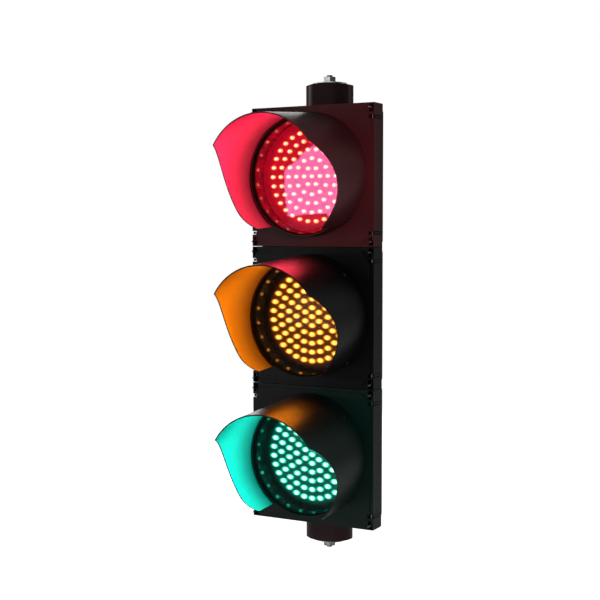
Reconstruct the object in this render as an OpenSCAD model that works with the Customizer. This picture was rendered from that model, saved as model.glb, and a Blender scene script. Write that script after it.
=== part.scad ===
// Three-section traffic signal head with 200 mm lamps, hinged doors and cutaway visors.
// X runs across the doors, -Y is the way the lamps face, Z is up.
// The origin is on the mounting axis, where the bottom stud leaves its nut.

/* [Section] */
// Height of one section, seam to seam
pitch = 238; // [236:1:246]
// Width of a door
door_w = 234; // [234:1:244]
// Depth of a door's side walls
door_d = 29; // [28:1:32]
// Thickness of the moulded door walls
door_wall = 3; // [2.5:0.1:3]
// Thickness of the housing walls
shell = 3; // [2.5:0.1:3.5]
// Depth of a housing behind its door
housing_d = 63; // [60:1:72]

/* [Lamp] */
// Outer radius of the lens skirt
lens_r = 97.3; // [96.5:0.1:97.3]
// How far the collar stands in front of the door
collar_h = 33; // [30:1:36]
// Height of the lens shoulder above the door face
shoulder_h = 22; // [18:1:24]
// Rise of the lens dome above its shoulder
dome_h = 14; // [10:1:18]
// Distance between rings of LEDs
led_pitch = 15.2; // [14.6:0.1:15.4]
// Number of LED rings around the centre one
led_rings = 5; // [3:1:5]

/* [Visor] */
// Length of a visor from the door panel to its tip
visor_len = 162; // [150:1:180]
// Downward tilt of a visor
visor_tilt = 4.5; // [0:0.5:5]
// Outer radius of a visor
visor_r = 105; // [104.8:0.1:105.4]
// Radius of the curved side cut
cut_r = 120; // [112:1:126]
// Height of the side cut's centre below the lamp axis
cut_drop = 51; // [46:1:56]
// Length of a visor's sides below the cut
visor_tail = 96; // [90:1:104]
// How far below the lamp axis the visor's lower edges lie
visor_skirt = 84; // [80:1:88]

/* [Mounting] */
// Length of an oval mounting cap across the head
cap_w = 86; // [76:1:90]
// Depth of an oval mounting cap
cap_d = 50; // [46:1:54]
// Height of a cap's straight rim above the end of the doors
cap_h = 38; // [30:1:42]
// Radius of a mounting stud
stud_r = 6; // [5:0.5:6]

/* [Hidden] */
$fn = 96;
eps = 0.01;
// Outline of a door and the planes it lies between, front to back
door_h = pitch - 1;
seam_gap = 0.05;
joint_y = -36;
door_back_y = joint_y - 1;
face_y = door_back_y - door_d;
plate_back_y = face_y + door_wall;
panel_rise = 2;
panel_y = face_y - panel_rise;
panel_margin = 6;
panel_chamfer = 17;
// Rib inside the door that carries the seal
rib_in = 104;
rib_t = 2.5;
rib_end_y = joint_y - 4.2;
rib_z = 109;
// Visor: its wall, the step it springs from and its screws, ahead of the panel
visor_wall = 2.2;
visor_lip_r = 30;
visor_lip_h = 26;
screw_ahead = 17;
// Corner pins: the bar, its bent tail and the places they pass through
pin_r = 1.5;
pin_inset = 5;
pin_x = door_w / 2 - pin_inset;
pin_y = face_y + pin_inset;
pin_tail = 9;
pin_bend = 8;
pin_end = 25;
pin_gap = 0.05;
window_in = 10;
window_skin = 1.2;
window_a = [1, 15.6];
window_b = [20, 26];
arm_z = [21, 25];
arm_in = 3.6;
arm_out = 4.6;
hook_lip = 2.2;
mouth_gap = 0.15;
// Lamp parts, radii and planes
bore_r = lens_r + 1.6;
collar_r = bore_r + 2.3;
lens_t = 2;
flange_r = lens_r + 5.9;
gasket_t = 1.5;
flange_t = 3;
flange_y = plate_back_y + gasket_t;
case_y = flange_y + flange_t + 0.1;
case_rim_h = 6.4;
clip_y = case_y + case_rim_h;
case_r = lens_r - 1.3;
case_rim_r = case_r + 5;
case_t = 2.2;
case_mid_y = joint_y + 4;
case_back_y = joint_y + 26;
case_back_r = 74;
ledge_h = 1.1;
cable_r = 3.1;
board_r = lens_r - lens_t - 1.8;
board_t = 1.6;
board_y = case_y + ledge_h - board_t - 0.1;
mask_r = lens_r - lens_t - 0.4;
mask_t = 2;
mask_y = board_y - 5.4;
led_r = 2.5;
led_hole_r = 2.9;
led_len = 7.2;
// Module clips on bosses behind the door plate
boss_at = 88;
boss_r = 6;
clip_w = 12;
clip_t = 2.5;
screw_r = 2;
screw_play = 0.2;
head_r = 4;
head_h = 2.4;
slot_w = 0.9;
// Housing outline
opening_x = 102.5;
opening_z = 106;
flange_d = 7;
housing_front_w = door_w / 2 - 2;
housing_end_z = pitch / 2 - 8;
housing_back_y = joint_y + housing_d;
end_chamfer = 12;
// Recessed panel in the back of a housing
back_panel_x = 62;
back_panel_z = 78;
// Section couplers, and the bosses inside a housing that their nuts sit on
nipple_r = 18;
nipple_bore = 14;
ring_nut_r = 26;
ring_nut_t = 8;
hub_r = 26.5;
hub_hole_r = nipple_r + 0.3;
seat_z = housing_end_z - shell - end_chamfer;
nipple_reach = pitch / 2 - seat_z + ring_nut_t + 1;
// Bottom of the terminal block, from the lamp axis of its section
terminal_z = -82;
// Mounting hardware
cap_flare = 8;
cap_wall = 4;
cap_dome = 6;
washer_t = 1.6;
washer_w = 62;
washer_d = 40;
nut_h = 8;
nut_r = 11.4;
stud_end = 3;
stud_point_r = stud_r - 1;
stud_disc_r = 23.5;
stud_disc_t = 4;
mount_h = cap_h + cap_dome + washer_t + nut_h;
centre_z = mount_h + pitch / 2;
// Sections from the bottom up: name, LED colour and how far the ring pattern is turned
SECTIONS = [["green", "mediumspringgreen", 30], ["amber", "orange", 30], ["red", "crimson", 0]];
SECTION_NODES = ["housing", "door", "door_seal", "door_screws", "visor", "lens", "lens_gasket", "led_mask",
    "leds", "circuit_board", "module_case", "module_clips", "module_lead",
    "hinge_pin_upper", "hinge_pin_lower", "latch_pin_upper", "latch_pin_lower"];
SHARED_NODES = ["top_mount_cap", "bottom_mount_cap", "mount_studs", "mount_washers", "mount_nuts",
    "section_nipples", "nipple_nuts", "terminal_block"];

// Points of an arc from angle a to angle b about c, in steps
function arc(c, r, a, b, steps) =
    [for (i = [0:steps]) c + r * [cos(a + (b - a) * i / steps), sin(a + (b - a) * i / steps)]];

// Turns a profile given as [radius, distance in front] about the lamp axis
module lamp_turn() {
    rotate([90, 0, 0])
        rotate_extrude()
            children();
}

// Box between two corners
module span(a, b) {
    translate(a)
        cube(b - a);
}

// Rectangular frame about the lamp axis, from its inner half sizes outwards
module frame(in_x, in_z, t, y0, y1) {
    difference() {
        span([-in_x - t, y0, -in_z - t], [in_x + t, y1, in_z + t]);
        span([-in_x, y0 - 1, -in_z], [in_x, y1 + 1, in_z]);
    }
}

// Repeats its child at the four corners by mirroring
module corners() {
    for (sx = [0, 1])
        for (sz = [0, 1])
            mirror([sx, 0, 0])
                mirror([0, 0, sz])
                    children();
}

// Places its child at the four diagonals of the lamp
module diagonals() {
    for (a = [45:90:315])
        rotate([0, a, 0])
            children();
}

// Box between two depths below the door's top edge, two places across and two from front to back
module from_edge(z0, z1, x0, x1, y0, y1) {
    span([x0, y0, door_h / 2 - z1], [x1, y1, door_h / 2 - z0]);
}

// Places its child at each LED: one on the lamp axis, then rings, ring n holding 6 n
module led_places(turn) {
    children();
    for (n = [1:led_rings])
        for (i = [0:6 * n - 1])
            rotate([0, 60 / n * i + turn, 0])
                translate([n * led_pitch, 0, 0])
                    children();
}

// ---- Door ----

module panel_outline() {
    w = door_w / 2 - panel_margin;
    h = door_h / 2 - panel_margin;
    c = panel_chamfer;
    polygon([[w, h - c], [w - c, h], [c - w, h], [-w, h - c],
        [-w, c - h], [c - w, -h], [w - c, -h], [w, c - h]]);
}

module door() {
    half_w = door_w / 2;
    half_h = door_h / 2;
    knuckle = 4.5;
    window_x = half_w - window_in;
    color([0.07, 0.07, 0.08])
        difference() {
            union() {
                // plate and side walls
                difference() {
                    span([-half_w, face_y, -half_h], [half_w, door_back_y, half_h]);
                    span([door_wall - half_w, plate_back_y, door_wall - half_h],
                        [half_w - door_wall, joint_y, half_h - door_wall]);
                }
                // raised panel
                translate([0, face_y + eps, 0])
                    rotate([90, 0, 0])
                        linear_extrude(panel_rise + eps)
                            panel_outline();
                // rib that carries the seal
                frame(rib_in, rib_z, rib_t, plate_back_y - eps, rib_end_y);
                // collar around the lens
                lamp_turn()
                    square([collar_r, collar_h - face_y]);
                // knuckles that the pins slide in
                corners()
                    from_edge(window_a[1], window_b[0], pin_x - knuckle, half_w, face_y, pin_y + knuckle);
                // bosses for the module clips
                corners()
                    translate([boss_at, clip_y, boss_at])
                        rotate([90, 0, 0])
                            cylinder(r = boss_r, h = clip_y - plate_back_y + eps);
            }
            // space behind the plate, kept clear of the collar's blank
            lamp_turn()
                square([bore_r, 2 * collar_h - face_y]);
            lamp_turn()
                square([collar_r + eps, -plate_back_y]);
            // corner windows that show the pins, and slots for the housing's arms
            corners() {
                from_edge(window_a[0], window_a[1], window_x, half_w - window_skin, panel_y - 1,
                    pin_y + knuckle);
                from_edge(window_b[0], window_b[1], window_x, half_w + 1, panel_y - 1, joint_y);
                translate([pin_x, pin_y, half_h - pin_end])
                    cylinder(r = pin_r + pin_gap, h = pin_end - window_a[0]);
                // threaded core of a clip boss
                translate([boss_at, clip_y + 1, boss_at])
                    rotate([90, 0, 0])
                        cylinder(r = screw_r, h = clip_y - plate_back_y);
            }
            // threaded holes for the visor screws
            visor_screw_places()
                cylinder(r = screw_r, h = visor_r);
        }
}

// ---- Visor ----

// Turns its child with the visor, about the middle of the collar
module tilted() {
    translate([0, panel_y - screw_ahead, 0])
        rotate([visor_tilt, 0, 0])
            translate([0, screw_ahead - panel_y, 0])
                children();
}

// Radial screw axes, Z pointing outwards
module visor_screw_places() {
    tilted()
        diagonals()
            translate([0, panel_y - screw_ahead, 0])
                children();
}

// Side view of a visor: distance from the panel against height
module visor_side() {
    difference() {
        translate([-10, -visor_skirt])
            square([visor_len + 10, visor_skirt + visor_r + 1]);
        translate([visor_tail + cut_r, -cut_drop])
            circle(r = cut_r);
        translate([visor_tail, -visor_skirt - 1])
            square([visor_len, visor_skirt + 1 - cut_drop]);
        // rounded lower corner
        translate([visor_tail, -visor_skirt])
            difference() {
                translate([-visor_lip_r, -1])
                    square([visor_lip_r + 1, visor_lip_h + 1]);
                translate([-visor_lip_r, visor_lip_h])
                    circle(r = visor_lip_r);
            }
    }
}

module visor() {
    foot = 8;
    foot_gap = 0.2;
    beyond = visor_r + 2;
    color([0.08, 0.08, 0.09])
        difference() {
            tilted()
                difference() {
                    lamp_turn()
                        translate([visor_r - visor_wall, -panel_y - foot])
                            square([visor_wall, visor_len + foot]);
                    // everything outside the side outline
                    difference() {
                        span([-beyond, panel_y - visor_len - 1, -beyond],
                            [beyond, panel_y + 2 * foot, beyond]);
                        translate([-beyond - 1, panel_y, 0])
                            rotate([90, 0, 90])
                                mirror([1, 0, 0])
                                    linear_extrude(2 * beyond + 2)
                                        visor_side();
                    }
                }
            // foot cut flat on the door panel
            span([-beyond, panel_y - foot_gap, -pitch / 2], [beyond, 0, pitch / 2]);
            visor_screw_places()
                cylinder(r = screw_r + screw_play, h = beyond);
        }
}

// Pan-head screws through the visor into the collar
module visor_screws() {
    tip = bore_r + screw_play;
    ball = 6;
    slot_d = 1.2;
    slot_half = 2.2;
    color("silver")
        visor_screw_places() {
            translate([0, 0, tip])
                cylinder(r = screw_r, h = visor_r - tip + 1);
            translate([0, 0, visor_r + 0.05])
                difference() {
                    rotate_extrude()
                        intersection() {
                            translate([0, head_h - ball])
                                circle(r = ball);
                            square([head_r, head_h]);
                        }
                    for (a = [0, 90])
                        rotate(a)
                            translate([-slot_half, -slot_w / 2, slot_d])
                                cube([2 * slot_half, slot_w, head_h]);
                }
        }
}

// ---- Lamp module ----

// Dome profile at distance t inside the outer surface, from the skirt to the axis
function dome_points(t) =
    let (r = 8, bend_rise = 7.2, top_r = lens_r - r, start = shoulder_h - face_y,
        rise = dome_h - bend_rise,
        ball = (top_r * top_r + rise * rise) / (2 * rise),
        meet = asin(top_r / ball),
        ball_z = start + r * cos(meet) + rise - ball)
    concat(
        arc([top_r, start], r - t, 0, 90 - meet, 8),
        [for (i = [1:12]) let (a = meet * (1 - i / 12))
            [(ball - t) * sin(a), ball_z + (ball - t) * cos(a)]]);

module lens() {
    back = -flange_y - flange_t;
    skirt_in = lens_r - lens_t;
    inner = dome_points(lens_t);
    color([0.8, 0.85, 0.9, 0.4])
        lamp_turn()
            polygon(concat(
                [[skirt_in, back], [flange_r, back], [flange_r, -flange_y], [lens_r, -flange_y]],
                dome_points(0),
                [for (i = [len(inner) - 1:-1:0]) inner[i]]));
}

module lens_gasket() {
    gap = 0.1;
    edge = 0.8;
    front = collar_h - face_y;
    color([0.05, 0.05, 0.05])
        lamp_turn()
            polygon([[lens_r + gap, -flange_y + gap], [flange_r, -flange_y + gap],
                [flange_r, -plate_back_y], [bore_r - gap, -plate_back_y],
                [bore_r - gap, front - edge], [bore_r - edge, front], [lens_r + gap, front]]);
}

module led_mask(turn) {
    color([0.06, 0.06, 0.06])
        difference() {
            lamp_turn()
                polygon([[0, -mask_y], [mask_r, -mask_y], [mask_r, -board_y], [mask_r - 2, -board_y],
                    [mask_r - 2, -mask_y - mask_t], [0, -mask_y - mask_t]]);
            led_places(turn)
                translate([0, mask_y + mask_t + 1, 0])
                    rotate([90, 0, 0])
                        cylinder(r = led_hole_r, h = mask_t + 2, $fn = 24);
        }
}

module leds(tint, turn) {
    rim = led_r + 0.3;
    color(tint)
        led_places(turn)
            translate([0, board_y, 0])
                rotate([90, 0, 0])
                    rotate_extrude($fn = 24)
                        polygon(concat([[0, 0], [rim, 0], [rim, 1], [led_r, 1]],
                            arc([0, led_len], led_r, 0, 90, 5)));
}

module circuit_board() {
    cell = [20, 9, 24];
    step = 32;
    extra = 3;
    color("darkgreen")
        lamp_turn()
            translate([0, -board_y - board_t])
                square([board_r, board_t]);
    // driver parts soldered on the back
    color("dimgray")
        for (x = [-1:1])
            translate([x * step - cell[0] / 2, board_y + board_t - eps, -cell[2] / 2])
                cube([cell[0], cell[1] + extra * x * x, cell[2]]);
}

module module_case() {
    inner = case_r - case_t;
    ledge = board_r - 5.5;
    ledge_front = -case_y - ledge_h;
    ledge_back = ledge_front - 2;
    color([0.12, 0.12, 0.13])
        difference() {
            lamp_turn()
                polygon([[inner, -case_y], [case_rim_r, -case_y], [case_rim_r, -clip_y], [case_r, -clip_y],
                    [case_r, -case_mid_y], [case_back_r, -case_back_y], [0, -case_back_y],
                    [0, case_t - case_back_y], [case_back_r - 1, case_t - case_back_y],
                    [inner, -case_mid_y + 1], [inner, ledge_back], [ledge, ledge_back],
                    [ledge, ledge_front], [inner, ledge_front]]);
            lead_axis()
                cylinder(r = cable_r + 0.1, h = 10 * case_t, center = true);
        }
}

module module_clips() {
    boss = boss_at * sqrt(2);
    color("silver")
        diagonals()
            difference() {
                span([case_r + 0.5, clip_y + 0.05, -clip_w / 2],
                    [boss + boss_r, clip_y + clip_t, clip_w / 2]);
                translate([boss, clip_y, 0])
                    rotate([90, 0, 0])
                        cylinder(r = screw_r + screw_play, h = 4 * clip_t, center = true);
            }
}

module clip_screws() {
    grip = 8;
    color("silver")
        corners()
            translate([boss_at, clip_y + clip_t + 0.05, boss_at])
                rotate([90, 0, 0]) {
                    cylinder(r = screw_r, h = clip_t + grip);
                    translate([0, 0, -head_h])
                        difference() {
                            cylinder(r = head_r, h = head_h + eps);
                            translate([-head_r, -slot_w / 2, -1])
                                cube([2 * head_r, slot_w, 2]);
                        }
                }
}

// All the screws of a door
module door_screws() {
    visor_screws();
    clip_screws();
}

// Where the lead leaves the back of the module
module lead_axis() {
    translate([-40, case_back_y, -36])
        rotate([-90, 0, 0])
            children();
}

module module_lead() {
    gland_h = 6;
    gland_r = 6;
    inside = 6;
    bend = gland_h + 1;
    reach = 38;
    color([0.1, 0.1, 0.1])
        lead_axis() {
            translate([0, 0, -inside])
                cylinder(r = cable_r, h = inside + bend);
            translate([0, 0, eps])
                cylinder(r = gland_r, h = gland_h, $fn = 6);
            // cable lying across towards the hinge
            translate([0, 0, bend])
                rotate([0, -90, 0])
                    cylinder(r = cable_r, h = reach);
            translate([0, 0, bend])
                sphere(r = cable_r);
        }
}

// ---- Corner pins ----

// Pin at the corner towards +X and +Z
module pin() {
    bend_z = door_h / 2 - pin_bend;
    tip_z = door_h / 2 - pin_end;
    color("gainsboro") {
        translate([pin_x, pin_y, tip_z])
            cylinder(r = pin_r, h = bend_z - tip_z);
        translate([pin_x, pin_y, bend_z])
            sphere(r = pin_r);
        translate([pin_x, pin_y, bend_z])
            rotate([90, 0, 0])
                cylinder(r = pin_r, h = pin_y - face_y + pin_tail);
    }
}

module corner_pin(sx, sz) {
    mirror([sx, 0, 0])
        mirror([0, 0, sz])
            pin();
}

// ---- Housing ----

// Plan of a housing: half widths against depth, set in by t
module housing_plan(t) {
    back_y = housing_back_y - t;
    step_y = joint_y + flange_d + 9;
    slope_y = step_y + 3;
    knee_y = housing_back_y - 9;
    front_y = t > 0 ? joint_y - 1 : joint_y;
    w0 = housing_front_w - 6 - t;
    w1 = w0 - 4;
    w2 = w1 - 11;
    w3 = w2 - 8;
    polygon([[w0, front_y], [w0, step_y], [w1, slope_y], [w2, knee_y], [w3, back_y],
        [-w3, back_y], [-w2, knee_y], [-w1, slope_y], [-w0, step_y], [-w0, front_y]]);
}

// Block with a housing's plan and chamfered ends, set in by t
module housing_block(t) {
    end = housing_end_z - t;
    back = housing_back_y - t;
    c = end_chamfer;
    intersection() {
        translate([0, 0, -end])
            linear_extrude(2 * end)
                housing_plan(t);
        rotate([90, 0, 90])
            linear_extrude(2 * door_w, center = true)
                polygon([[joint_y - 2, -end], [back - c, -end], [back, c - end],
                    [back, end - c], [back - c, end], [joint_y - 2, end]]);
    }
}

// Arm that reaches through the door's side slot and hooks the pin
module pin_arm() {
    difference() {
        from_edge(arm_z[0], arm_z[1], pin_x - arm_in, pin_x + arm_out, pin_y - hook_lip, joint_y + 2);
        translate([pin_x, pin_y, 0])
            cylinder(r = pin_r + pin_gap, h = door_h);
        translate([pin_x - pin_r - mouth_gap, pin_y - 10, 0])
            cube([2 * (pin_r + mouth_gap), 10, door_h]);
    }
}

// Hubs at both ends of a housing, from the seats of the nuts inside it to the seams
module hubs(r) {
    for (s = [0, 1])
        mirror([0, 0, s])
            translate([0, 0, seat_z])
                cylinder(r = r, h = pitch / 2 - seat_z);
}

module housing() {
    flange_z = pitch / 2 - seam_gap;
    color([0.06, 0.06, 0.07])
        difference() {
            union() {
                housing_block(0);
                span([-housing_front_w, joint_y, -flange_z],
                    [housing_front_w, joint_y + flange_d, flange_z]);
                hubs(hub_r);
                corners()
                    pin_arm();
            }
            difference() {
                housing_block(shell);
                // solid border that the door seal presses on
                frame(opening_x, opening_z, 40, joint_y - 2, joint_y + flange_d);
                hubs(hub_r);
            }
            // mouth of the housing
            span([-opening_x, joint_y - 2, -opening_z], [opening_x, joint_y + flange_d + 1, opening_z]);
            cylinder(r = hub_hole_r, h = 2 * pitch, center = true);
            span([-back_panel_x, housing_back_y - 1, -back_panel_z],
                [back_panel_x, housing_back_y + 1, back_panel_z]);
        }
}

// Foam strip on the end of the door's rib, that presses on the housing
module door_seal() {
    over = 0.4;
    color([0.03, 0.03, 0.03])
        frame(rib_in - over, rib_z - over, rib_t + 2 * over,
            rib_end_y + seam_gap, joint_y - seam_gap);
}

// ---- Mounting hardware, written for the top end with zero at the hub's end ----

module oval(w, d, h) {
    for (s = [-1, 1])
        translate([s * (w - d) / 2, 0, 0])
            cylinder(r = d / 2, h = h);
    translate([(d - w) / 2, -d / 2, 0])
        cube([w - d, d, h]);
}

// Crowned top of a cap: a very large ball cut to the oval
module crown(rise, r) {
    ball = (r * r + rise * rise) / (2 * rise);
    translate([0, 0, rise - ball])
        rotate_extrude()
            polygon(concat([[0, 0]], arc([0, 0], ball, 90 - asin(r / ball), 90, 8)));
}

module mount_cap() {
    foot_r = hub_r + 1;
    color([0.09, 0.06, 0.07])
        difference() {
            union() {
                oval(cap_w, cap_d, cap_h);
                intersection() {
                    translate([0, 0, cap_h])
                        crown(cap_dome, cap_w / 2);
                    translate([0, 0, cap_h - eps])
                        oval(cap_w, cap_d, cap_dome + 1);
                }
                // concave foot around the hub
                rotate_extrude()
                    difference() {
                        square([foot_r, cap_flare]);
                        translate([foot_r, cap_flare + 2])
                            circle(r = cap_flare);
                    }
            }
            translate([0, 0, -eps])
                oval(cap_w - 2 * cap_wall, cap_d - 2 * cap_wall, cap_h - cap_wall);
            cylinder(r = stud_r + screw_play, h = 2 * cap_h);
        }
}

// Dished washer on the crown
module mount_washer() {
    ball_r = cap_w / 2;
    color("silver")
        difference() {
            translate([0, 0, cap_h + 0.05])
                intersection() {
                    difference() {
                        translate([0, 0, washer_t])
                            crown(cap_dome, ball_r);
                        crown(cap_dome, ball_r);
                    }
                    oval(washer_w, washer_d, cap_dome + washer_t + 1);
                }
            cylinder(r = stud_r + screw_play, h = 2 * cap_h);
        }
}

module mount_nut() {
    base = cap_h + cap_dome + washer_t;
    color("silver")
        translate([0, 0, base])
            difference() {
                intersection() {
                    cylinder(r = nut_r, h = nut_h, $fn = 6);
                    // chamfer on the corners of the free face
                    cylinder(r1 = nut_r + 4, r2 = nut_r - 0.8, h = nut_h);
                }
                cylinder(r = stud_r, h = 3 * nut_h, center = true);
            }
}

// Stud held by a disc inside the housing, with a narrower point ahead of its nut
module mount_stud() {
    disc_z = seat_z - pitch / 2;
    color("silver") {
        translate([0, 0, disc_z - stud_disc_t])
            cylinder(r = stud_disc_r, h = stud_disc_t - 0.05);
        translate([0, 0, disc_z - 1])
            cylinder(r = stud_r, h = mount_h - disc_z + 1);
        translate([0, 0, mount_h - 1])
            cylinder(r = stud_point_r, h = stud_end + 1);
    }
}

// Both ends of the head
module top_end() {
    translate([0, 0, mount_h + 3 * pitch])
        children();
}

module bottom_end() {
    translate([0, 0, mount_h])
        mirror([0, 0, 1])
            children();
}

module both_ends() {
    top_end()
        children();
    bottom_end()
        children();
}

// ---- Section couplers and wiring ----

module seams() {
    for (i = [1, 2])
        translate([0, 0, mount_h + i * pitch])
            children();
}

module section_nipples() {
    color("silver")
        seams()
            difference() {
                cylinder(r = nipple_r, h = 2 * nipple_reach, center = true);
                cylinder(r = nipple_bore, h = 3 * nipple_reach, center = true);
            }
}

module nipple_nuts() {
    seat = pitch / 2 - seat_z;
    color("silver")
        seams()
            for (s = [0, 1])
                mirror([0, 0, s])
                    translate([0, 0, seat + 0.05])
                        difference() {
                            cylinder(r = ring_nut_r, h = ring_nut_t, $fn = 6);
                            cylinder(r = nipple_r, h = 3 * ring_nut_t, center = true);
                        }
}

// Barrier strip on the back wall of the middle housing
module terminal_block() {
    ways = 4;
    way = 15;
    depth = 13;
    height = 26;
    pocket_h = 10;
    pocket_d = 10;
    rib = 2;
    well_r = 2.6;
    base_y = housing_back_y - shell;
    color([0.75, 0.72, 0.62])
        for (i = [0:ways - 1])
            translate([(i - ways / 2) * way, base_y - depth, terminal_z])
                difference() {
                    cube([way + eps, depth, height]);
                    // two wire pockets to a way
                    for (z = [-1, height - pocket_h + 1])
                        translate([rib, -1, z])
                            cube([way - 2 * rib, pocket_d, pocket_h]);
                    // screw wells
                    translate([way / 2, 2 * rib, height / 2])
                        rotate([90, 0, 0])
                            cylinder(r = well_r, h = depth);
                }
}

// ---- Assembly ----

for (i = [0:2]) {
    s = SECTIONS[i][0];
    translate([0, 0, centre_z + i * pitch]) {
        housing();
        door();
        door_seal();
        door_screws();
        visor();
        lens();
        lens_gasket();
        led_mask(SECTIONS[i][2]);
        leds(SECTIONS[i][1], SECTIONS[i][2]);
        circuit_board();
        module_case();
        module_clips();
        module_lead();
        corner_pin(1, 0);
        corner_pin(1, 1);
        corner_pin(0, 0);
        corner_pin(0, 1);
    }
}
top_end() mount_cap();  // top_mount_cap
bottom_end() mount_cap();  // bottom_mount_cap
both_ends() mount_stud();  // mount_studs
both_ends() mount_washer();  // mount_washers
both_ends() mount_nut();  // mount_nuts
section_nipples();
nipple_nuts();
translate([0, 0, centre_z + pitch]) terminal_block();
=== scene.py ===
"""Looks of a three-section traffic signal head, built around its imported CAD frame."""
import math

import bmesh
import bpy
from mathutils import Matrix, Vector


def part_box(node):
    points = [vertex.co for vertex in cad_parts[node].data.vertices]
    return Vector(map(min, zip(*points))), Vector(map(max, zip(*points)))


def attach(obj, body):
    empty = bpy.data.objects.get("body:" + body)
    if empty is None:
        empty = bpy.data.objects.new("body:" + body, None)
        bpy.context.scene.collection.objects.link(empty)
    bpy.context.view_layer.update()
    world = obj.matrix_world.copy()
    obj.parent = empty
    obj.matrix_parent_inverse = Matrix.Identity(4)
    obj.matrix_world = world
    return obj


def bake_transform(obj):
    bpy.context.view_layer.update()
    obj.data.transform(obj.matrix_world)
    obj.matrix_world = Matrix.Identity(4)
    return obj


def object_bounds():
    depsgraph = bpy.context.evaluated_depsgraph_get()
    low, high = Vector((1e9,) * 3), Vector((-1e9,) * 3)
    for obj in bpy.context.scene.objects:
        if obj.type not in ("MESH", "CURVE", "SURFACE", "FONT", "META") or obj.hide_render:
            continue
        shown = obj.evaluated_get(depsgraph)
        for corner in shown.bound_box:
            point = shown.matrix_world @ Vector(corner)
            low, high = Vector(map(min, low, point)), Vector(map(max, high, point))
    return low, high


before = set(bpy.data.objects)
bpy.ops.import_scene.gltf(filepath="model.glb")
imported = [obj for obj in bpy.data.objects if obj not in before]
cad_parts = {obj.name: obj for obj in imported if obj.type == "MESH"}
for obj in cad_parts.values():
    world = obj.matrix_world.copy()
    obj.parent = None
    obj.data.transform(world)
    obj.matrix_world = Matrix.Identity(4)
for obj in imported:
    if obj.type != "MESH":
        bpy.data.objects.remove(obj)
cad_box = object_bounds()

MM = 0.001
COLOURS = ("red", "amber", "green")
scene = bpy.context.scene


def link_group(name, objects):
    """A collection of objects, for a light that shines on nothing else."""
    group = bpy.data.collections.new(name)
    for obj in objects:
        group.objects.link(obj)
    return group


def nodes_named(*starts):
    """The CAD nodes whose names start with one of the given words."""
    return [obj for name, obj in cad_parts.items() if name.startswith(starts)]


# ---------------------------------------------------------------- shader helpers

class Shader:
    """A material's node tree with short calls to add and link nodes."""

    def __init__(self, name):
        self.mat = bpy.data.materials.new(name)
        self.mat.use_nodes = True
        self.tree = self.mat.node_tree
        self.tree.nodes.clear()
        self.out = self.add("ShaderNodeOutputMaterial")
        self.place = self.add("ShaderNodeTexCoord").outputs["Object"]

    def add(self, kind, **values):
        node = self.tree.nodes.new(kind)
        for key, value in values.items():
            setattr(node, key, value)
        return node

    def link(self, a, b):
        self.tree.links.new(a, b)

    def put(self, socket, value):
        if isinstance(value, bpy.types.NodeSocket):
            self.link(value, socket)
        else:
            socket.default_value = value

    def noise(self, scale, detail=3.0, rough=0.55, stretch=(1, 1, 1)):
        mapping = self.add("ShaderNodeMapping")
        mapping.inputs["Scale"].default_value = stretch
        self.link(self.place, mapping.inputs["Vector"])
        node = self.add("ShaderNodeTexNoise")
        node.inputs["Scale"].default_value = scale
        node.inputs["Detail"].default_value = detail
        node.inputs["Roughness"].default_value = rough
        self.link(mapping.outputs["Vector"], node.inputs["Vector"])
        return node.outputs["Fac"]

    def cells(self, scale, feature="F1"):
        node = self.add("ShaderNodeTexVoronoi", feature=feature)
        node.inputs["Scale"].default_value = scale
        self.link(self.place, node.inputs["Vector"])
        return node.outputs["Distance"]

    def remap(self, value, a, b, c, d):
        node = self.add("ShaderNodeMapRange")
        self.put(node.inputs["Value"], value)
        for key, number in zip(("From Min", "From Max", "To Min", "To Max"), (a, b, c, d)):
            node.inputs[key].default_value = number
        return node.outputs["Result"]

    def math(self, op, a, b=0.0):
        node = self.add("ShaderNodeMath", operation=op)
        self.put(node.inputs[0], a)
        self.put(node.inputs[1], b)
        return node.outputs["Value"]

    def mix(self, fac, a, b, blend="MIX"):
        node = self.add("ShaderNodeMix", data_type="RGBA", blend_type=blend)
        self.put(node.inputs["Factor"], fac)
        self.put(node.inputs[6], a)
        self.put(node.inputs[7], b)
        return node.outputs[2]

    def around(self, middle):
        """Sockets of the distance from the lamp axis at this height and of the turn about it."""
        parts = self.add("ShaderNodeSeparateXYZ")
        self.link(self.place, parts.inputs[0])
        x, z = parts.outputs["X"], self.math("SUBTRACT", parts.outputs["Z"], middle)
        square = self.math("ADD", self.math("MULTIPLY", x, x), self.math("MULTIPLY", z, z))
        return self.math("SQRT", square), self.math("ARCTAN2", z, x)

    def bump(self, height, strength, distance, normal=None):
        node = self.add("ShaderNodeBump")
        node.inputs["Strength"].default_value = strength
        node.inputs["Distance"].default_value = distance
        self.link(height, node.inputs["Height"])
        if normal:
            self.link(normal, node.inputs["Normal"])
        return node.outputs["Normal"]

    def edges(self, radius):
        """1 on rounded-off edges and 0 on flat faces."""
        soft = self.add("ShaderNodeBevel", samples=4)
        soft.inputs["Radius"].default_value = radius
        plain = self.add("ShaderNodeNewGeometry")
        dot = self.add("ShaderNodeVectorMath", operation="DOT_PRODUCT")
        self.link(soft.outputs["Normal"], dot.inputs[0])
        self.link(plain.outputs["Normal"], dot.inputs[1])
        return self.remap(dot.outputs["Value"], 0.98, 0.75, 0.0, 1.0)

    def principled(self, **values):
        node = self.add("ShaderNodeBsdfPrincipled")
        for key, value in values.items():
            self.put(node.inputs[key.replace("_", " ")], value)
        return node

    def done(self, surface):
        self.link(surface, self.out.inputs["Surface"])
        return self.mat


def rgba(r, g, b):
    return (r, g, b, 1.0)


# ---------------------------------------------------------------- materials

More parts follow.
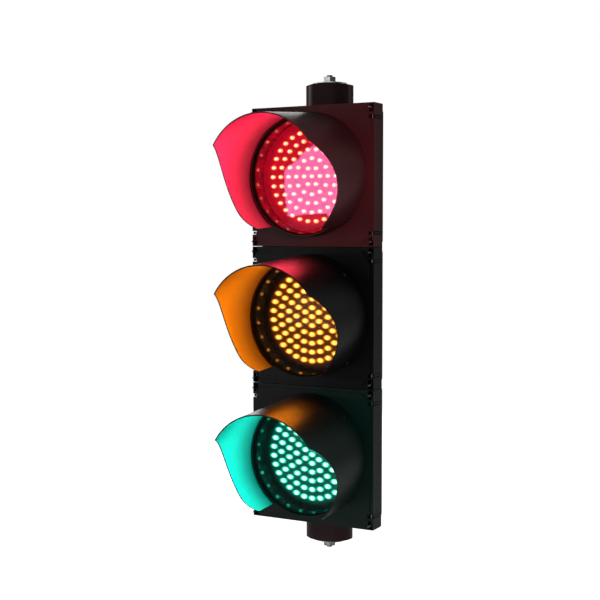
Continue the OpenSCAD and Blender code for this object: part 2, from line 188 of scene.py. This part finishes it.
def moulded_plastic(name, dark, light, rough, grain=0.35, wear=0.5):
    """Satin moulded plastic: fine grain, faint flow marks, dust in patches and scuffed edges."""
    s = Shader(name)
    flow = s.noise(9.0, 4.0, 0.6)
    fine = s.noise(1500.0, 2.0, 0.5)
    pores = s.cells(1100.0)
    scuffs = s.noise(140.0, 5.0, 0.7)
    worn = s.math("MULTIPLY", s.edges(1.1 * MM), s.remap(scuffs, 0.42, 0.62, 0.15, wear))
    body = s.mix(s.remap(flow, 0.35, 0.7, 0.0, 1.0), rgba(*dark), rgba(*light))
    body = s.mix(s.math("MULTIPLY", worn, 0.5), body, rgba(*[min(1.0, 4.5 * c + 0.02) for c in light]))
    roughness = s.math("ADD", s.remap(scuffs, 0.3, 0.7, rough - 0.06, rough + 0.07),
                       s.remap(fine, 0.3, 0.7, -0.03, 0.03))
    height = s.math("ADD", s.math("MULTIPLY", fine, 0.6), s.math("MULTIPLY", pores, 0.5))
    normal = s.bump(flow, 0.12, 1.2 * MM)
    normal = s.bump(height, grain, 0.12 * MM, normal)
    return s.done(s.principled(Base_Color=body, Roughness=roughness, Normal=normal,
                               Specular_IOR_Level=0.36).outputs["BSDF"])


def metal(name, colour, rough, streak=(1, 1, 30), dull=0.5):
    """Plated or drawn metal with fine directional streaks and dull patches."""
    s = Shader(name)
    lines = s.noise(900.0, 3.0, 0.6, streak)
    patches = s.noise(120.0, 4.0, 0.65)
    dark = rgba(*[c * dull for c in colour])
    tone = s.mix(s.remap(patches, 0.38, 0.66, 0.0, 1.0), dark, rgba(*colour))
    bright = rgba(*[min(1, 1.25 * c) for c in colour])
    tone = s.mix(s.math("MULTIPLY", s.edges(0.5 * MM), 0.6), tone, bright)
    roughness = s.remap(s.math("ADD", lines, patches), 0.7, 1.3, rough - 0.08, rough + 0.14)
    normal = s.bump(lines, 0.25, 0.08 * MM)
    return s.done(s.principled(Base_Color=tone, Metallic=1.0, Roughness=roughness,
                               Normal=normal).outputs["BSDF"])


def rubber(name, colour, rough=0.62, ribs=0.0, shine=0.3):
    s = Shader(name)
    fine = s.noise(700.0, 3.0, 0.6)
    broad = s.noise(60.0, 3.0, 0.5)
    light = [2.2 * c + 0.004 for c in colour]
    tone = s.mix(s.remap(broad, 0.35, 0.7, 0.0, 1.0), rgba(*colour), rgba(*light))
    height = fine
    if ribs:
        wave = s.add("ShaderNodeTexWave", bands_direction="X")
        wave.inputs["Scale"].default_value = ribs
        s.link(s.place, wave.inputs["Vector"])
        height = s.math("ADD", s.math("MULTIPLY", fine, 0.4), wave.outputs["Fac"])
    normal = s.bump(height, 0.4, 0.15 * MM)
    roughness = s.remap(fine, 0.3, 0.7, rough - 0.07, rough + 0.1)
    return s.done(s.principled(Base_Color=tone, Roughness=roughness, Normal=normal,
                               Specular_IOR_Level=shine).outputs["BSDF"])


# For each lamp: colours of an LED's rim and core, of the mask flooded by them and its brightness at the
# border, of the light thrown out and its power, of what the dome reflects, of the light in the lens wall and
# of the LEDs' painted reflections there, and half the width and height of the painted halo around an LED
# in millimetres.
GLOW = {
    "red": {
        "rim": (1.0, 0.01, 0.04), "core": (1.0, 0.70, 0.25), "mask": (0.68, 0.0, 0.014), "border": 0.62,
        "lamp": (1.0, 0.014, 0.07), "watts": 1.3, "sheen": (1.0, 0.36, 0.90), "skirt": (0.16, 0.0, 0.004),
        "image": (1.0, 0.22, 0.12), "halo": (7.6, 4.3),
    },
    "amber": {
        "rim": (0.95, 0.26, 0.0), "core": (1.0, 0.80, 0.14), "mask": (0.10, 0.016, 0.001), "border": 0.02,
        "lamp": (1.0, 0.20, 0.0), "watts": 0.95, "sheen": (0.03, 0.028, 0.03), "skirt": (0.010, 0.004, 0.001),
        "image": (0.95, 0.30, 0.05), "halo": (9.0, 5.2),
    },
    "green": {
        "rim": (0.0, 0.75, 0.40), "core": (0.62, 1.0, 0.92), "mask": (0.0, 0.09, 0.06), "border": 0.06,
        "lamp": (0.0, 1.0, 0.74), "watts": 1.25, "sheen": (0.03, 0.04, 0.04), "skirt": (0.0, 0.012, 0.008),
        "image": (0.03, 0.70, 0.42), "halo": (9.0, 5.4),
    },
}

# Radius of the field of LEDs, number of their painted reflections around a lens wall, and how far these
# are ahead of the mask
LED_FIELD, IMAGES, IMAGE_AHEAD = 81 * MM, 24, 17 * MM


def lamp_middle(colour):
    """Height of a lamp's axis."""
    return sum(v.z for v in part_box(f"led_mask_{colour}")) / 2


def clear_lens(colour):
    """Clear dome: reflects at its face and more at a slant; its wall carries the lamp's light and painted
    reflections of the LEDs.
    """
    s = Shader(f"lens_{colour}")
    sheen, skirt = GLOW[colour]["sheen"], GLOW[colour]["skirt"]
    waves = s.noise(35.0, 2.0, 0.4)
    dust = s.noise(420.0, 4.0, 0.7)
    normal = s.bump(waves, 0.04, 1.0 * MM)
    view = s.add("ShaderNodeNewGeometry")
    dot = s.add("ShaderNodeVectorMath", operation="DOT_PRODUCT")
    s.link(view.outputs["Incoming"], dot.inputs[0])
    s.link(normal, dot.inputs[1])
    graze = s.math("SUBTRACT", 1.0, s.math("ABSOLUTE", dot.outputs["Value"]))
    mirror = s.math("ADD", 0.045, s.math("MULTIPLY", 0.955, s.math("POWER", graze, 4.0)))
    clear = s.add("ShaderNodeBsdfTransparent")
    clear.inputs["Color"].default_value = rgba(0.93, 0.94, 0.95)
    gloss = s.add("ShaderNodeBsdfGlossy")
    parts = s.add("ShaderNodeSeparateXYZ")
    s.link(view.outputs["Normal"], parts.inputs[0])
    side = s.math("SUBTRACT", 1.0, s.math("ABSOLUTE", parts.outputs["Y"]))
    tint = s.mix(s.remap(side, 0.6, 0.95, 0.0, 1.0), rgba(*sheen), rgba(1.0, 1.0, 1.0))
    s.put(gloss.inputs["Color"], tint)
    s.put(gloss.inputs["Roughness"], s.remap(dust, 0.3, 0.7, 0.01, 0.04))
    s.link(normal, gloss.inputs["Normal"])
    haze = s.add("ShaderNodeBsdfDiffuse")
    haze.inputs["Color"].default_value = rgba(0.8, 0.82, 0.85)
    body = s.add("ShaderNodeMixShader")
    s.put(body.inputs["Fac"], s.remap(dust, 0.45, 0.8, 0.002, 0.015))
    s.link(clear.outputs[0], body.inputs[1])
    s.link(haze.outputs[0], body.inputs[2])
    mix = s.add("ShaderNodeMixShader")
    path = s.add("ShaderNodeLightPath")
    not_shadow = s.math("SUBTRACT", 1.0, path.outputs["Is Shadow Ray"])
    s.put(mix.inputs["Fac"], s.math("MULTIPLY", mirror, not_shadow))
    s.link(body.outputs[0], mix.inputs[1])
    s.link(gloss.outputs[0], mix.inputs[2])
    # light piped through the skirt, strongest where the wall stands along the lamp axis
    glints = s.remap(s.noise(160.0, 2.0, 0.6, (1, 0.12, 1)), 0.42, 0.66, 0.35, 1.7)
    wall = s.remap(side, 0.9, 0.98, 0.0, 1.0)
    # painted reflections of the outer LEDs in the wall: spots in a ring round the lamp axis, at the depth
    # where their images fall
    _, turn = s.around(lamp_middle(colour))
    wave = s.math("COSINE", s.math("MULTIPLY", s.math("ADD", turn, math.pi / IMAGES), IMAGES))
    depth = s.add("ShaderNodeSeparateXYZ")
    s.link(s.place, depth.inputs[0])
    images_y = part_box(f"led_mask_{colour}")[0].y - IMAGE_AHEAD
    off = s.math("ABSOLUTE", s.math("SUBTRACT", depth.outputs["Y"], images_y))
    painted_reflection = s.math("MULTIPLY", s.remap(wave, 0.72, 0.93, 0.0, 1.0), s.remap(off, 2.0 * MM, 5.0 * MM, 1.0, 0.0))
    painted_reflection = s.math("MULTIPLY", painted_reflection, wall)
    piped = s.add("ShaderNodeEmission")
    s.put(piped.inputs["Color"], s.mix(painted_reflection, rgba(*skirt), rgba(*GLOW[colour]["image"])))
    streaks = s.math("MULTIPLY", glints, s.math("POWER", side, 1.5))
    s.put(piped.inputs["Strength"], s.math("MAXIMUM", painted_reflection, streaks))
    total = s.add("ShaderNodeAddShader")
    s.link(mix.outputs[0], total.inputs[0])
    s.link(piped.outputs[0], total.inputs[1])
    s.mat.cycles.emission_sampling = "NONE"
    return s.done(total.outputs[0])


def lit_led(colour):
    """LED body: whitish where it is seen end on, saturated towards its rim."""
    s = Shader(f"led_{colour}_lit")
    facing = s.add("ShaderNodeLayerWeight")
    facing.inputs["Blend"].default_value = 0.5
    flicker = s.noise(300.0, 2.0, 0.5)
    edge = s.math("ADD", facing.outputs["Facing"], s.remap(flicker, 0.3, 0.7, -0.08, 0.08))
    glow = GLOW[colour]
    tone = s.mix(s.remap(edge, 0.10, 0.60, 0.0, 1.0), rgba(*glow["core"]), rgba(*glow["rim"]))
    power = s.remap(edge, 0.1, 0.7, 4.5, 1.3)
    node = s.principled(Base_Color=tone, Roughness=0.2, Emission_Color=tone, Emission_Strength=power)
    s.mat.cycles.emission_sampling = "NONE"
    return s.done(node.outputs["BSDF"])


def glowing_mask(colour):
    """Black mask plate under the LEDs, flooded with their light, brightest in the middle rings."""
    s = Shader(f"mask_{colour}")
    fine = s.noise(900.0, 2.0, 0.5)
    patches = s.noise(70.0, 3.0, 0.6)
    away, _ = s.around(lamp_middle(colour))
    fade = s.remap(away, LED_FIELD - 2 * MM, LED_FIELD + 7 * MM, 1.0, GLOW[colour]["border"])
    node = s.principled(Base_Color=rgba(0.02, 0.02, 0.02), Roughness=s.remap(fine, 0.3, 0.7, 0.35, 0.5),
                        Normal=s.bump(fine, 0.3, 0.1 * MM), Emission_Color=rgba(*GLOW[colour]["mask"]),
                        Emission_Strength=s.math("MULTIPLY", fade, s.remap(patches, 0.3, 0.7, 0.8, 1.15)))
    s.mat.cycles.emission_sampling = "NONE"
    return s.done(node.outputs["BSDF"])


def laminate(name):
    """Green circuit board with copper tracks under the mask and pads."""
    s = Shader(name)
    tracks = s.cells(190.0, "DISTANCE_TO_EDGE")
    weave = s.noise(1800.0, 2.0, 0.5)
    base = s.mix(s.remap(tracks, 0.02, 0.05, 1.0, 0.0), rgba(0.008, 0.075, 0.03), rgba(0.03, 0.19, 0.07))
    pads = s.remap(s.cells(150.0), 0.0, 0.16, 1.0, 0.0)
    tone = s.mix(s.remap(pads, 0.35, 0.4, 0.0, 1.0), base, rgba(0.55, 0.52, 0.46))
    return s.done(s.principled(Base_Color=tone, Roughness=s.remap(weave, 0.3, 0.7, 0.3, 0.45),
                               Normal=s.bump(tracks, 0.3, 0.1 * MM)).outputs["BSDF"])


def nylon(name, dark, light):
    s = Shader(name)
    cloud = s.noise(45.0, 4.0, 0.6)
    fine = s.noise(800.0, 2.0, 0.5)
    tone = s.mix(s.remap(cloud, 0.35, 0.65, 0.0, 1.0), rgba(*dark), rgba(*light))
    tone = s.mix(s.math("MULTIPLY", s.edges(0.8 * MM), 0.35), tone, rgba(0.8, 0.78, 0.7))
    return s.done(s.principled(Base_Color=tone, Roughness=s.remap(fine, 0.3, 0.7, 0.4, 0.55),
                               Normal=s.bump(fine, 0.3, 0.12 * MM), Subsurface_Weight=0.05).outputs["BSDF"])


MATERIALS = {
    "housing": moulded_plastic("housing_plastic", (0.008, 0.008, 0.008), (0.013, 0.012, 0.013), 0.42),
    "door": moulded_plastic("door_plastic", (0.008, 0.007, 0.007), (0.012, 0.010, 0.010), 0.40),
    "visor": moulded_plastic("visor_plastic", (0.009, 0.008, 0.008), (0.014, 0.012, 0.012), 0.36, grain=0.5),
    "mount_cap": moulded_plastic("cap_plastic", (0.050, 0.014, 0.018), (0.074, 0.022, 0.027), 0.34,
                                 grain=0.2),
    "module_case": moulded_plastic("case_plastic", (0.03, 0.03, 0.032), (0.045, 0.045, 0.05), 0.5),
    "lens_gasket": rubber("gasket_rubber", (0.004, 0.004, 0.004), 0.85, shine=0.05),
    "door_seals": rubber("seal_foam", (0.012, 0.012, 0.012), 0.8),
    "circuit_board": laminate("board_laminate"),
    "module_lead": rubber("cable_jacket", (0.012, 0.012, 0.013), 0.5, ribs=60.0),
    "module_clips": metal("spring_steel", (0.42, 0.43, 0.46), 0.28, (1, 1, 1)),
    "screw": metal("screw_steel", (0.16, 0.16, 0.165), 0.40, (1, 1, 1)),
    "pin": metal("pin_wire", (0.62, 0.57, 0.57), 0.36, (1, 1, 0.05)),
    "mount_studs": metal("stud_steel", (0.30, 0.29, 0.30), 0.35, (1, 1, 20)),
    "mount_washers": metal("washer_steel", (0.80, 0.80, 0.79), 0.34, (1, 1, 1)),
    "mount_nuts": metal("nut_steel", (0.55, 0.55, 0.56), 0.3, (1, 1, 1)),
    "section_nipples": metal("nipple_zinc", (0.42, 0.42, 0.44), 0.4, (1, 1, 1)),
    "nipple_nuts": metal("ring_nut_zinc", (0.45, 0.45, 0.47), 0.42, (1, 1, 1)),
    "terminal_block": nylon("terminal_nylon", (0.34, 0.30, 0.22), (0.48, 0.43, 0.33)),
}
for c in COLOURS:
    MATERIALS[f"lens_{c}"] = clear_lens(c)
    MATERIALS[f"leds_{c}"] = lit_led(c)
    MATERIALS[f"led_mask_{c}"] = glowing_mask(c)


FAMILIES = {"door_screws": "screw", "door_seal": "door_seals"}


def material_for(node):
    """The material of a CAD node, by its name or by its name without the section's colour."""
    if node in MATERIALS:
        return MATERIALS[node]
    if "_pin_" in node:
        return MATERIALS["pin"]
    if node.endswith("mount_cap"):
        return MATERIALS["mount_cap"]
    family = node.rsplit("_", 1)[0]
    return MATERIALS[FAMILIES.get(family, family)]


# ---------------------------------------------------------------- finish of the CAD nodes

# Radius of the rounded edges of a family of nodes, in millimetres
ROUNDING = {"housing": 1.4, "door": 1.3, "visor": 0.7, "mount_cap": 1.2, "module_case": 0.8,
            "mount_nuts": 0.5, "terminal_block": 0.5, "module_clips": 0.4, "nipple_nuts": 0.7,
            "mount_washers": 0.3}
# Vertices closer than this are one
WELD = 0.005 * MM


def soften(obj, width):
    """Rounds the moulded edges, as every real edge is."""
    weld = obj.modifiers.new("weld", "WELD")
    weld.merge_threshold = WELD
    if width:
        bevel = obj.modifiers.new("rounding", "BEVEL")
        bevel.width = width * MM
        bevel.segments = 3
        bevel.limit_method = "ANGLE"
        bevel.angle_limit = math.radians(32)
        bevel.use_clamp_overlap = True
        bevel.harden_normals = False
    smooth = obj.modifiers.new("shading", "WEIGHTED_NORMAL")
    smooth.keep_sharp = True
    smooth.weight = 60


for name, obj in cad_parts.items():
    family = name
    for key in ROUNDING:
        if name.startswith(key) or name.endswith(key):
            family = key
    obj.data.materials.clear()
    obj.data.materials.append(material_for(name))
    for polygon in obj.data.polygons:
        polygon.use_smooth = True
        polygon.material_index = 0
    soften(obj, ROUNDING.get(family, 0.0))


# ---------------------------------------------------------------- painted LED halos

# Radius of the hole in the mask around an LED
LED_HOLE_R = 2.9 * MM


def islands(mesh):
    """Groups of vertices that hang together."""
    bm = bmesh.new()
    bm.from_mesh(mesh)
    bmesh.ops.remove_doubles(bm, verts=bm.verts, dist=WELD)
    seen, groups = set(), []
    for vert in bm.verts:
        if vert in seen:
            continue
        seen.add(vert)
        group, front = [], [vert]
        while front:
            v = front.pop()
            group.append(v.co.copy())
            for edge in v.link_edges:
                other = edge.other_vert(v)
                if other not in seen:
                    seen.add(other)
                    front.append(other)
        groups.append(group)
    bm.free()
    return groups


def halo_sheet_material(colour):
    """Painted halo of an LED's light on a clear sheet, brightest at the LED and fading outwards."""
    s = Shader(f"painted_halo_{colour}")
    level = s.add("ShaderNodeAttribute", attribute_name="glow")
    ripple = s.noise(500.0, 2.0, 0.5)
    fade = s.math("POWER", level.outputs["Fac"], 0.9)
    fade = s.math("MULTIPLY", fade, s.remap(ripple, 0.3, 0.7, 0.85, 1.1))
    glow = GLOW[colour]
    tone = s.mix(s.remap(fade, 0.50, 1.0, 0.0, 1.0), rgba(*glow["rim"]), rgba(*glow["core"]))
    light = s.add("ShaderNodeEmission")
    s.put(light.inputs["Color"], tone)
    s.put(light.inputs["Strength"], s.remap(fade, 0.0, 1.0, 0.9, 2.4))
    clear = s.add("ShaderNodeBsdfTransparent")
    mix = s.add("ShaderNodeMixShader")
    s.put(mix.inputs["Fac"], fade)
    s.link(clear.outputs[0], mix.inputs[1])
    s.link(light.outputs[0], mix.inputs[2])
    s.mat.cycles.emission_sampling = "NONE"
    return s.done(mix.outputs[0])


def add_halo_sheets(colour):
    """A thin oval sheet on the mask around every LED, carrying a painted halo of its light."""
    lo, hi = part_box(f"led_mask_{colour}")
    steps, rings, thick, gap = 28, (0.0, 0.25, 0.5, 0.75, 1.0), 0.25 * MM, 0.05 * MM
    front, back = lo.y - gap - thick, lo.y - gap
    outer = [r * MM for r in GLOW[colour]["halo"]]
    verts, faces, glow = [], [], []
    for group in islands(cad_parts[f"leds_{colour}"].data):
        cx = sum(v.x for v in group) / len(group)
        cz = sum(v.z for v in group) / len(group)
        start = len(verts)
        for y, depths in ((front, rings), (back, rings[::-1])):
            for t in depths:
                for i in range(steps):
                    a = 2 * math.pi * i / steps
                    rx = LED_HOLE_R + (outer[0] - LED_HOLE_R) * t
                    rz = LED_HOLE_R + (outer[1] - LED_HOLE_R) * t
                    verts.append((cx + rx * math.cos(a), y, cz + rz * math.sin(a)))
                    glow.append(1.0 - t)
        loops = 2 * len(rings)
        for k in range(loops):
            for i in range(steps):
                j = (i + 1) % steps
                a, b = start + k * steps, start + (k + 1) % loops * steps
                faces.append((a + i, a + j, b + j, b + i))
    mesh = bpy.data.meshes.new(f"painted_led_halos_{colour}")
    mesh.from_pydata(verts, [], faces)
    mesh.attributes.new("glow", "FLOAT", "POINT").data.foreach_set("value", glow)
    mesh.materials.append(halo_sheet_material(colour))
    obj = bpy.data.objects.new(f"painted_led_halos_{colour}", mesh)
    scene.collection.objects.link(obj)
    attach(obj, f"door_assembly_{colour}")


for c in COLOURS:
    add_halo_sheets(c)


# ---------------------------------------------------------------- wiring

# Radii of a module's stiff lead end and of the flexible lead in it
STIFF_R, FLEXIBLE_R = 3.1 * MM, 2.9 * MM
# Radius of a terminal screw and half the width of its slot
SCREW_R, HALF_SLOT = 2.4 * MM, 0.4 * MM


def along(points, steps):
    """Points of a smooth curve through the given ones, with steps to a span."""
    ends = [points[0] * 2 - points[1]] + points + [points[-1] * 2 - points[-2]]
    curve = []
    for i in range(1, len(ends) - 2):
        a, b, c, d = ends[i - 1:i + 3]
        for k in range(steps):
            u = k / steps
            curve.append(0.5 * (2 * b + (c - a) * u + (2 * a - 5 * b + 4 * c - d) * u ** 2
                                + (3 * b - a - 3 * c + d) * u ** 3))
    return curve + [points[-1]]


def add_cable(name, points, radius, material):
    """A round cable through the points, closed at both ends."""
    path = along([Vector(q) for q in points], 14)
    sides = 14
    verts, faces = [], []
    side = Vector((0, 1, 0))
    for i, here in enumerate(path):
        ahead = (path[min(i + 1, len(path) - 1)] - path[max(i - 1, 0)]).normalized()
        side = (side - ahead * side.dot(ahead)).normalized()
        other = ahead.cross(side)
        for k in range(sides):
            a = 2 * math.pi * k / sides
            verts.append(here + (side * math.cos(a) + other * math.sin(a)) * radius)
    for i in range(len(path) - 1):
        for k in range(sides):
            a, b = i * sides + k, i * sides + (k + 1) % sides
            faces.append((a, b, b + sides, a + sides))
    faces.append(tuple(range(sides))[::-1])
    faces.append(tuple(range(len(verts) - sides, len(verts))))
    mesh = bpy.data.meshes.new(name)
    mesh.from_pydata(verts, [], faces)
    for polygon in mesh.polygons:
        polygon.use_smooth = len(polygon.vertices) == 4
    mesh.materials.append(material)
    obj = bpy.data.objects.new(name, mesh)
    scene.collection.objects.link(obj)
    return obj


def lead_end(colour):
    """Where the stiff end of a lamp module's lead stops, on the hinge side."""
    lo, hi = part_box(f"module_lead_{colour}")
    return Vector((lo.x, hi.y - STIFF_R, (lo.z + hi.z) / 2))


block_lo, block_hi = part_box("terminal_block")
WAYS = 4
way_x = [block_lo.x + (block_hi.x - block_lo.x) * (i + 0.5) / WAYS for i in range(WAYS)]


def add_leads():
    """Flexible leads from the three modules, through the couplers, to the terminal block."""
    wire_y = block_lo.y + 4.6 * MM
    centre = {c: sum(v.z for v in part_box(f"lens_{c}")) / 2 for c in COLOURS}
    axis = {c: lead_end(c) for c in COLOURS}
    top, bottom, x = block_hi.z, block_lo.z, way_x
    jacket = rubber("flexible_lead", (0.010, 0.010, 0.011), 0.5, ribs=60.0)

    def at(px, py, pz):
        return (px * MM, py * MM, pz)

    seam = {c: centre[c] - 87 * MM for c in ("red", "amber")}
    seam["green"] = centre["green"] + 87 * MM
    paths = {
        "red": [axis["red"] + Vector((4 * MM, 0, 0)), axis["red"], axis["red"] + Vector((-9, 3, -6)) * MM,
                at(-84, 13, axis["red"].z - 24 * MM), at(-48, 16, axis["red"].z - 36 * MM),
                at(-12, 7, seam["red"] + 10 * MM), at(0, 0, seam["red"] - 8 * MM),
                at(0, 0, centre["amber"] + 84 * MM), at(-6, 7, centre["amber"] + 60 * MM),
                at(-20, 11, centre["amber"]), (x[0], wire_y, top + 20 * MM), (x[0], wire_y, top - 6 * MM)],
        "amber": [axis["amber"] + Vector((4 * MM, 0, 0)), axis["amber"],
                  axis["amber"] + Vector((-9, 3, 5)) * MM, at(-84, 13, axis["amber"].z + 22 * MM),
                  at(-52, 15, axis["amber"].z + 44 * MM), at(-18, 14, axis["amber"].z + 40 * MM),
                  (x[1], wire_y, top + 22 * MM), (x[1], wire_y, top - 6 * MM)],
        "green": [axis["green"] + Vector((4 * MM, 0, 0)), axis["green"],
                  axis["green"] + Vector((-9, 3, 6)) * MM, at(-84, 13, axis["green"].z + 30 * MM),
                  at(-56, 15, centre["green"] + 30 * MM), at(-14, 9, seam["green"] - 16 * MM),
                  at(0, 0, seam["green"] + 6 * MM), at(0, 0, bottom - 10 * MM), at(12, 8, bottom - 5 * MM),
                  (x[3] - 2 * MM, wire_y, bottom - 5 * MM), (x[3], wire_y, bottom + 6 * MM)],
    }
    for c in COLOURS:
        cable = add_cable(f"flexible_lead_{c}", paths[c], FLEXIBLE_R, jacket)
        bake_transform(cable)


def add_terminal_screws():
    """Slotted screws in the wells of the terminal block."""
    brass = metal("terminal_brass", (0.62, 0.45, 0.20), 0.3, (1, 1, 1))
    deep, head = block_lo.y + 3.9 * MM, block_lo.y + 1.6 * MM
    middle_z = (block_lo.z + block_hi.z) / 2
    steps = 14
    bend = math.asin(HALF_SLOT / SCREW_R)
    turns = [bend + (math.pi - 2 * bend) * k / steps for k in range(steps + 1)]
    ring = [(SCREW_R * math.cos(a), SCREW_R * math.sin(a)) for a in turns]
    for i, screw_x in enumerate(way_x):
        verts, faces = [], []
        for s in (1, -1):
            first = len(verts)
            for y in (deep, head):
                verts += [(screw_x + s * u, y, middle_z + s * v) for u, v in ring]
            n = steps + 1
            faces.append(tuple(first + k for k in range(n)))
            faces.append(tuple(first + n + k for k in range(n))[::-1])
            for k in range(n):
                m = (k + 1) % n
                faces.append((first + k, first + n + k, first + n + m, first + m))
        mesh = bpy.data.meshes.new(f"terminal_screw_{i}")
        mesh.from_pydata(verts, [], faces)
        mesh.materials.append(brass)
        screw = bpy.data.objects.new(f"terminal_screw_{i}", mesh)
        scene.collection.objects.link(screw)
        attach(screw, "head_frame")


add_leads()
add_terminal_screws()


# ---------------------------------------------------------------- stage, lights and camera

def add_lamp(colour):
    """The light that a lamp throws out through its lens, on its door."""
    lo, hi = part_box(f"led_mask_{colour}")
    light = bpy.data.lights.new(f"lamp_{colour}", "AREA")
    light.shape = "DISK"
    light.size = (hi.x - lo.x) * 0.86
    light.energy = GLOW[colour]["watts"] * 0.62
    light.color = GLOW[colour]["lamp"]
    obj = bpy.data.objects.new(f"lamp_{colour}", light)
    scene.collection.objects.link(obj)
    obj.light_linking.receiver_collection = opaque
    place = Vector(((lo.x + hi.x) / 2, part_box(f"lens_{colour}")[0].y + 9 * MM, (lo.z + hi.z) / 2))
    obj.location = place
    obj.rotation_euler = (math.radians(-90), 0, 0)
    obj.visible_camera = False
    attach(obj, f"door_assembly_{colour}")
    # the same light thrown back by the dome, on the root of the visor
    back = bpy.data.lights.new(f"dome_{colour}", "POINT")
    back.shadow_soft_size = 25 * MM
    back.energy = GLOW[colour]["watts"] * 8.5
    back.color = GLOW[colour]["lamp"]
    point = bpy.data.objects.new(f"dome_{colour}", back)
    scene.collection.objects.link(point)
    point.location = place - Vector((0, 26 * MM, 0))
    point.visible_camera = False
    own_visor = link_group(f"own_visor_{colour}", [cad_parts[f"visor_{colour}"]])
    point.light_linking.receiver_collection = own_visor
    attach(point, f"door_assembly_{colour}")


def add_softbox(name, place, target, size, energy, colour=(1, 1, 1), only=None):
    """A rectangular light that faces the target, for all objects or for those of one collection."""
    light = bpy.data.lights.new(name, "AREA")
    light.shape = "RECTANGLE"
    light.size, light.size_y = size
    light.energy = energy
    light.color = colour
    obj = bpy.data.objects.new(name, light)
    scene.collection.objects.link(obj)
    obj.location = place
    obj.rotation_euler = (Vector(target) - Vector(place)).to_track_quat("-Z", "Y").to_euler()
    obj.visible_camera = False
    if only:
        obj.light_linking.receiver_collection = only
    return obj


lens_parts = nodes_named("lens_")
opaque = link_group("opaque", [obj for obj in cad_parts.values() if obj not in lens_parts])
domes = link_group("domes", [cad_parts[f"lens_{c}"] for c in COLOURS])
for c in COLOURS:
    add_lamp(c)

mid = (cad_box[0] + cad_box[1]) / 2


def add_floor():
    s = Shader("floor_paper")
    grain = s.noise(60.0, 4.0, 0.6)
    tone = s.mix(s.remap(grain, 0.3, 0.7, 0.0, 1.0), rgba(0.86, 0.86, 0.86), rgba(0.9, 0.9, 0.9))
    path = s.add("ShaderNodeLightPath")
    glow = s.remap(path.outputs["Is Camera Ray"], 0.0, 1.0, 0.1, 0.93)
    material = s.done(s.principled(Base_Color=tone, Roughness=0.85, Emission_Color=rgba(1, 1, 1),
                                   Emission_Strength=glow).outputs["BSDF"])
    mesh = bpy.data.meshes.new("floor")
    reach = 30.0
    level = cad_box[0].z - 0.22
    corners = [(-reach, -reach, level), (reach, -reach, level), (reach, reach, level), (-reach, reach, level)]
    mesh.from_pydata(corners, [], [(0, 1, 2, 3)])
    mesh.materials.append(material)
    floor = bpy.data.objects.new("floor", mesh)
    scene.collection.objects.link(floor)


def add_world():
    """White to the camera, dimmer as a light, so that black plastic stays black."""
    world = bpy.data.worlds.new("studio")
    world.use_nodes = True
    scene.world = world
    tree = world.node_tree
    tree.nodes.clear()
    out = tree.nodes.new("ShaderNodeOutputWorld")
    mix = tree.nodes.new("ShaderNodeMixShader")
    seen = tree.nodes.new("ShaderNodeBackground")
    seen.inputs["Color"].default_value = (1, 1, 1, 1)
    seen.inputs["Strength"].default_value = 1.0
    cast = tree.nodes.new("ShaderNodeBackground")
    cast.inputs["Color"].default_value = (1, 1, 1, 1)
    cast.inputs["Strength"].default_value = 0.085
    path = tree.nodes.new("ShaderNodeLightPath")
    tree.links.new(path.outputs["Is Camera Ray"], mix.inputs["Fac"])
    tree.links.new(cast.outputs[0], mix.inputs[1])
    tree.links.new(seen.outputs[0], mix.inputs[2])
    tree.links.new(mix.outputs[0], out.inputs["Surface"])


add_floor()
add_world()
shells = link_group("shells", nodes_named("door_", "visor_", "housing_"))
bright_metal = link_group("hardware", nodes_named("mount_washers", "mount_nuts", "mount_studs", "hinge_pin_",
                                                  "latch_pin_"))
add_softbox("key", (-2.2, -0.9, mid.z + 1.0), mid, (1.0, 1.4), 11.0)
add_softbox("rim", (1.5, 1.0, mid.z + 0.75), mid + Vector((0, 0, 0.2)), (0.5, 0.9), 1.1)
add_softbox("side_band", (-2.6, 0.1, mid.z), mid, (2.2, 0.3), 52.0, only=shells)
add_softbox("back", (-1.4, 2.4, mid.z + 0.7), mid, (1.2, 1.6), 16.0)
# what the red and the green lamp throw back on their own doors and visors
for c, watts, tint in (("red", 24.0, (1.0, 0.12, 0.15)), ("green", 4.5, (0.0, 1.0, 0.70))):
    centre = sum(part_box(f"door_{c}"), Vector()) / 2
    black = link_group(f"black_{c}", [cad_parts[f"{part}_{c}"] for part in ("door", "visor")])
    place = centre + Vector((0.48, -0.62, 0.0))
    spill = add_softbox(f"spill_{c}", place, centre, (0.6, 0.2), watts, tint, black)
    spill.visible_glossy = False
    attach(spill, f"door_assembly_{c}")
add_softbox("nut_light", (-0.6, -1.6, mid.z), mid, (1.2, 2.4), 14.0, only=bright_metal)
add_softbox("dome_sheen", (-1.35, -3.3, mid.z + 0.35), mid, (1.7, 1.7), 46.0, only=domes)


def add_camera():
    """The photograph's three-quarter view, with the head in the middle of the picture."""
    azimuth, elevation, distance = math.radians(28.0), math.radians(4.2), 2.04
    back = Vector((math.sin(azimuth) * math.cos(elevation), -math.cos(azimuth) * math.cos(elevation),
                   math.sin(elevation)))
    data = bpy.data.cameras.new("camera")
    data.sensor_width = 36.0
    data.lens = 70.7
    cam = bpy.data.objects.new("camera", data)
    scene.collection.objects.link(cam)
    cam.matrix_world = Matrix.Translation(Vector((0.0, -0.03, mid.z)) + back * distance) @ \
        (-back).to_track_quat("-Z", "Y").to_matrix().to_4x4()
    # slide the picture so that the head's outline is centred
    inverse = cam.matrix_world.inverted()
    points = []
    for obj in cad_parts.values():
        for corner in obj.bound_box:
            local = inverse @ Vector(corner)
            points.append((local.x / -local.z, local.y / -local.z))
    scale = data.lens / data.sensor_width
    data.shift_x = scale * (min(p[0] for p in points) + max(p[0] for p in points)) / 2
    data.shift_y = scale * (min(p[1] for p in points) + max(p[1] for p in points)) / 2 + 0.02
    data.clip_start, data.clip_end = 0.05, 60.0
    scene.camera = cam


add_camera()
scene.view_settings.view_transform = "Standard"
